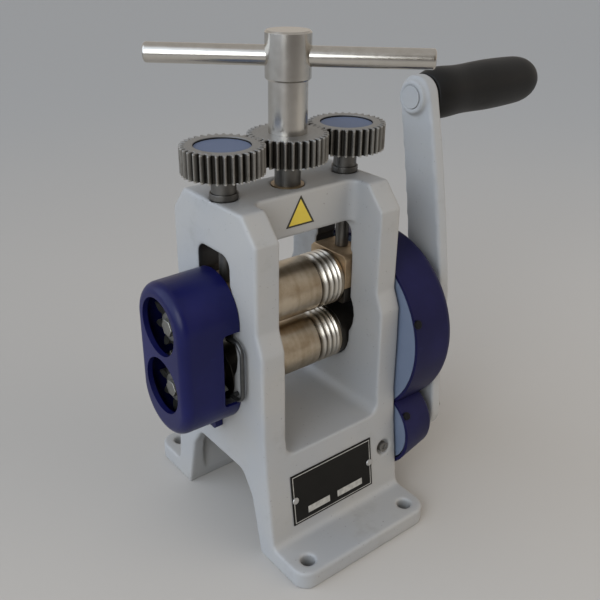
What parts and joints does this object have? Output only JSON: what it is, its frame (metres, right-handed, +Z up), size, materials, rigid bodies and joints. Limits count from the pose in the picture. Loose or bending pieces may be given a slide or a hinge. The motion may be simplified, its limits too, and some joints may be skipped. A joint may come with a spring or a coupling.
{
  "type": "jewellers rolling mill",
  "caption": "Hand cranked bench rolling mill with plain and wire-grooved rolls, geared screw-down with a tee handle, and a geared side crank.",
  "frame": {"origin": "centre of the four foot bolts, on the underside of the feet", "axes": "+X along the rolls towards the crank, -Y towards the user at the front, +Z up"},
  "size_m": [0.3389, 0.194, 0.3447],
  "materials": {
    "frame_paint": "fine textured grey paint on cast iron",
    "plate": "black printed sheet",
    "sign": "satin vinyl",
    "roll_steel": "ground and polished hardened steel",
    "gear_steel": "machined, oiled",
    "dark_steel": "blackened",
    "bright_steel": "bright",
    "chrome": "polished plating",
    "bronze": "machined bronze",
    "cover_plastic": "satin dark blue moulding",
    "back_sheet": "blue-grey painted sheet",
    "disc": "satin blue",
    "grip_plastic": "dark satin"
  },
  "bodies": {
    "root": {"frame": "frame_paint", "name_plate": "plate", "name_plate_rivets": "bright_steel", "front_plug": "dark_steel", "bridge_sign": "sign", "lower_bearings": "bronze", "lift_spring": "bright_steel", "screw_nuts": "bronze", "screw_collars": "dark_steel", "centre_bush": "bronze", "left_cover": "cover_plastic", "left_cover_screws": "dark_steel", "gear_back_plate": "back_sheet", "back_plate_screws": "dark_steel", "gear_cover": "cover_plastic", "gear_cover_screws": "dark_steel", "pinion_cover": "cover_plastic", "pinion_cover_screws": "dark_steel", "pinion_bush": "bronze"},
    "tee": {"centre_gear": "gear_steel", "centre_shaft": "dark_steel", "tee_stem": "chrome", "tee_bar": "chrome"},
    "carriage": {"upper_bearings": "bronze", "bearing_keepers": "dark_steel"},
    "left_screw": {"left_screw": "dark_steel", "left_screw_gear": "gear_steel", "left_gear_disc": "disc"},
    "right_screw": {"right_screw": "dark_steel", "right_screw_gear": "gear_steel", "right_gear_disc": "disc"},
    "upper_roll": {"upper_roll": "roll_steel", "upper_timing_gear": "gear_steel", "upper_gear_key": "dark_steel", "upper_roll_bolt": "bright_steel"},
    "lower_roll": {"lower_roll": "roll_steel", "lower_timing_gear": "gear_steel", "lower_gear_key": "dark_steel", "lower_roll_bolt": "bright_steel", "drive_gear": "gear_steel", "drive_gear_key": "dark_steel", "drive_gear_nut": "dark_steel"},
    "crank": {"crank_shaft": "dark_steel", "pinion": "gear_steel", "crank_arm": "frame_paint", "crank_nut": "bright_steel", "grip_pin": "dark_steel"},
    "grip": {"grip": "grip_plastic"}
  },
  "joints": [
    {"name": "tee_turn", "type": "hinge", "parent": "root", "child": "tee", "pos_m": [0, 0, 0.27], "axis": [0, 0, 1], "range_deg": [-576, 828]},
    {"name": "roll_gap", "type": "slide", "parent": "root", "child": "carriage", "axis": [0, 0, 1], "range_m": [-0.00461, 0.00321], "deforming": ["lift_spring"]},
    {"name": "left_screw_turn", "type": "hinge", "parent": "carriage", "child": "left_screw", "pos_m": [-0.0495, 0, 0.27], "axis": [0, 0, 1], "range_deg": [-829, 577]},
    {"name": "right_screw_turn", "type": "hinge", "parent": "carriage", "child": "right_screw", "pos_m": [0.0495, 0, 0.27], "axis": [0, 0, 1], "range_deg": [-829, 577]},
    {"name": "crank_spin", "type": "hinge", "parent": "root", "child": "crank", "pos_m": [0.08, -0.0385, 0.05427], "axis": [1, 0, 0], "continuous": true},
    {"name": "lower_roll_spin", "type": "hinge", "parent": "root", "child": "lower_roll", "pos_m": [0, 0, 0.1278], "axis": [1, 0, 0], "continuous": true},
    {"name": "upper_roll_spin", "type": "hinge", "parent": "carriage", "child": "upper_roll", "pos_m": [0, 0, 0.1728], "axis": [1, 0, 0], "continuous": true},
    {"name": "grip_spin", "type": "hinge", "parent": "crank", "child": "grip", "pos_m": [0.17, -0.004, 0.2925], "axis": [1, 0, 0], "continuous": true}
  ],
  "couplings": [
    {"joint": "roll_gap", "follows": "tee_turn", "m_per_rad": -0.00031831},
    {"joint": "left_screw_turn", "follows": "tee_turn", "ratio": -1},
    {"joint": "right_screw_turn", "follows": "tee_turn", "ratio": -1},
    {"joint": "lower_roll_spin", "follows": "crank_spin", "ratio": -0.27692},
    {"joint": "upper_roll_spin", "follows": "crank_spin", "ratio": 0.27692}
  ]
}
